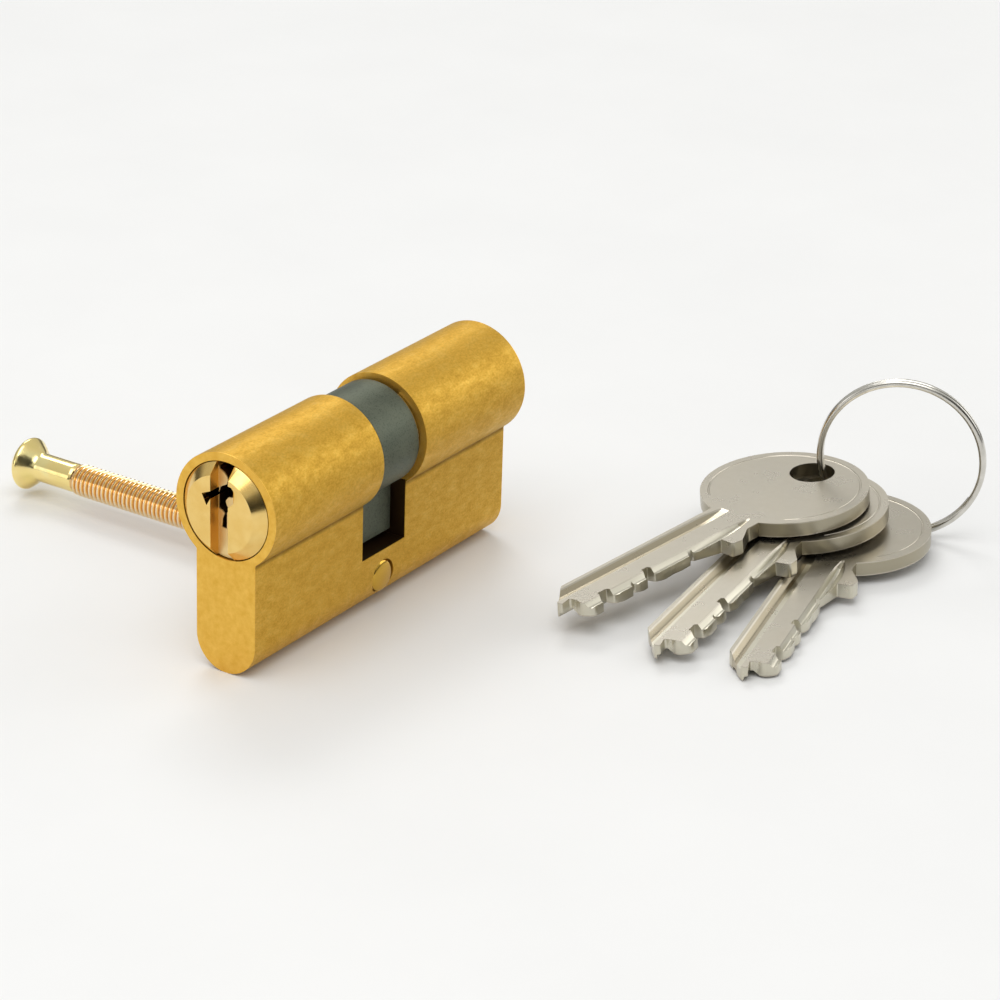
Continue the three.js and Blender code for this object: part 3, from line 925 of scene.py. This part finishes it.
def make_key():
    """One key, flat in its own X-Y plane, the bow's centre at the origin and the tip towards -X."""
    half = KEY_THICKNESS / 2
    key = prism("key", key_outline(), -half, half, "z")
    tools = [
        rod("hole", KEY_HOLE_RADIUS, -half - PAST, half + PAST, "z", 64, (KEY_HOLE_X, 0, 0)),
        groove_tool("groove_a", valley(3.4, 1.0, 0.75, 0.9, 0.3), 1, -16.6),
        groove_tool("groove_b", valley(-2.25, -4.3, 0.9, 0.65, 1.15), 1, -17.6),
        groove_tool("groove_c", valley(0.6, -1.1, 0.7, 0.3, 0.9), -1, -17.5),
        groove_tool("groove_d", valley(3.0, 2.0, 0.5, 0.3, 0.3), -1, -17.0),
        rim_groove(1),
        rim_groove(-1),
    ]
    return soften(cut(key, *tools), KEY_BEVEL, 3)


def key_frame(node, joint):
    """The key's own frame, from its hinge and the vertex farthest from it, which is the tip."""
    hole = Vector(joint["pos_m"])
    normal = Vector(joint["axis"]).normalized()
    tip = max((v.co for v in frame["nodes"][node].data.vertices), key=lambda co: (co - hole).length)
    flat = tip - hole
    flat -= normal * flat.dot(normal)
    along = -flat.normalized()
    tip_height = 0.8
    turn = math.atan2(tip_height, KEY_HOLE_X - KEY_TIP)
    along = Matrix.Rotation(turn, 3, normal) @ along
    across = normal.cross(along)
    matrix = Matrix((along, across, normal)).transposed().to_4x4()
    matrix.translation = hole - along * KEY_HOLE_X * MM
    return matrix


key_blank = make_key()
joints = {joint["name"]: joint for joint in frame["joints"]}
for number in (1, 2, 3):
    node = f"key_{number}"
    key = link(f"{node}_blank", key_blank.data.copy())
    key.matrix_world = key_frame(node, joints[f"{node}_swing"])
    place(key, node, "nickel", node)
bpy.data.objects.remove(key_blank)

# ---------------------------------------------------------------- split ring


def make_ring():
    """Nearly two turns of wire wound side by side, left-handed, with square-cut ends near each other."""
    radius, turns, pitch = 12.16, 1.94, 0.87
    first_end, heading = math.radians(298), math.radians(22)
    ring = helix("split_ring_wire", radius, turns, -pitch * turns, oval(0.5, 0.36, 20), 96)
    centre = Vector([(a + b) / 2 for a, b in zip(ring_low, ring_high)]) * MM
    wind = Matrix.Translation((0, 0, pitch * turns / 2 * MM)) @ Matrix.Rotation(first_end, 4, "Z")
    upright = Matrix.Rotation(heading, 4, "Z") @ Matrix.Rotation(math.pi / 2, 4, "Y")
    ring.data.transform(Matrix.Translation(centre) @ upright @ wind)
    return smooth(ring, 60)


place(make_ring(), "ring", "ring_nickel", "split_ring")

# ---------------------------------------------------------------- stage, light and camera


def make_floor():
    """White paper, level with the bottom of the lock."""
    reach = 3.0
    z = BELLY_BOTTOM * MM
    corners = [(-reach, -reach, z), (reach, -reach, z), (reach, reach, z), (-reach, reach, z)]
    mesh = bpy.data.meshes.new("floor")
    mesh.from_pydata(corners, [], [(0, 1, 2, 3)])
    floor = link("floor", mesh)
    s = Shader("floor_paper", Roughness=0.6)
    s.set("Base Color", s.ramp(s.noise(30, detail=3), (0.3, 0.82), (0.7, 0.84)))
    mesh.materials.append(s.material)


def area_light(name, place_at, target, size, power):
    """A white rectangular lamp that looks at the target."""
    data = bpy.data.lights.new(name, "AREA")
    data.shape = "RECTANGLE"
    data.size, data.size_y = size
    data.energy = power
    lamp = bpy.data.objects.new(name, data)
    bpy.context.scene.collection.objects.link(lamp)
    lamp.location = place_at
    lamp.rotation_euler = (Vector(target) - Vector(place_at)).to_track_quat("-Z", "Y").to_euler()


def make_world():
    """A studio dome: bright overhead, with a dark horizon and a dark patch above the near side."""
    world = bpy.data.worlds.new("studio")
    world.use_nodes = True
    nodes, links = world.node_tree.nodes, world.node_tree.links
    direction = nodes.new("ShaderNodeTexCoord").outputs["Generated"]
    axes = nodes.new("ShaderNodeSeparateXYZ")
    sky = nodes.new("ShaderNodeValToRGB")
    stops = ((0.0, 0.14), (0.14, 0.14), (0.3, 0.7), (1.0, 0.9))
    elements = sky.color_ramp.elements
    while len(elements) < len(stops):
        elements.new(0.5)
    for element, (position, grey) in zip(elements, stops):
        element.position = position
        element.color = (grey, grey, grey * 0.97, 1)
    toward = nodes.new("ShaderNodeVectorMath")
    toward.operation = "DOT_PRODUCT"
    toward.inputs[1].default_value = (-0.442, -0.822, 0.36)
    patch = nodes.new("ShaderNodeMapRange")
    for socket, value in (("From Min", 0.9), ("From Max", 0.94), ("To Min", 1.0), ("To Max", 0.1)):
        patch.inputs[socket].default_value = value
    dim = nodes.new("ShaderNodeVectorMath")
    dim.operation = "SCALE"
    links.new(direction, axes.inputs["Vector"])
    links.new(direction, toward.inputs[0])
    links.new(toward.outputs["Value"], patch.inputs["Value"])
    links.new(axes.outputs["Z"], sky.inputs["Fac"])
    links.new(sky.outputs["Color"], dim.inputs["Vector"])
    links.new(patch.outputs["Result"], dim.inputs["Scale"])
    links.new(dim.outputs["Vector"], nodes["Background"].inputs["Color"])
    nodes["Background"].inputs["Strength"].default_value = 0.8
    bpy.context.scene.world = world


def make_camera():
    """The camera looks down on the front end of the lock from its near side."""
    azimuth, elevation, roll = math.radians(32.92), math.radians(24.27), math.radians(1.86)
    sensor = 36
    distance, focal = 0.5446, 3.8448  # the focal length and the shifts are in sensor widths
    shift_right, shift_up = -0.1433, 0.0597
    forward = Vector((math.cos(azimuth) * math.cos(elevation), math.sin(azimuth) * math.cos(elevation),
                      -math.sin(elevation)))
    level = forward.cross(Vector((0, 0, 1))).normalized()
    upright = level.cross(forward)
    right = math.cos(roll) * level + math.sin(roll) * upright
    up = -math.sin(roll) * level + math.cos(roll) * upright
    data = bpy.data.cameras.new("camera")
    data.sensor_width = sensor
    data.lens = sensor * focal
    data.clip_start = 0.01
    camera = bpy.data.objects.new("camera", data)
    bpy.context.scene.collection.objects.link(camera)
    matrix = Matrix((right, up, -forward)).transposed().to_4x4()
    sideways = right * shift_right + up * shift_up
    matrix.translation = -distance * forward - sideways / focal * distance
    camera.matrix_world = matrix
    bpy.context.scene.camera = camera


make_floor()
make_world()
area_light("key_light", (-0.36, -0.13, 0.85), (0.02, -0.02, -0.01), (0.8, 0.8), 4)
area_light("back_light", (0.5, 0.5, 0.7), (0.02, 0.0, -0.01), (0.5, 0.3), 2)
area_light("side_light", (0.62, -0.44, 0.26), (0.0, 0.0, 0.0), (0.6, 0.4), 1.1)
area_light("front_light", (-0.7, 0.35, 0.14), (0.0, 0.0, 0.0), (0.4, 0.3), 0.5)
make_camera()
bpy.context.scene.view_settings.view_transform = "Standard"
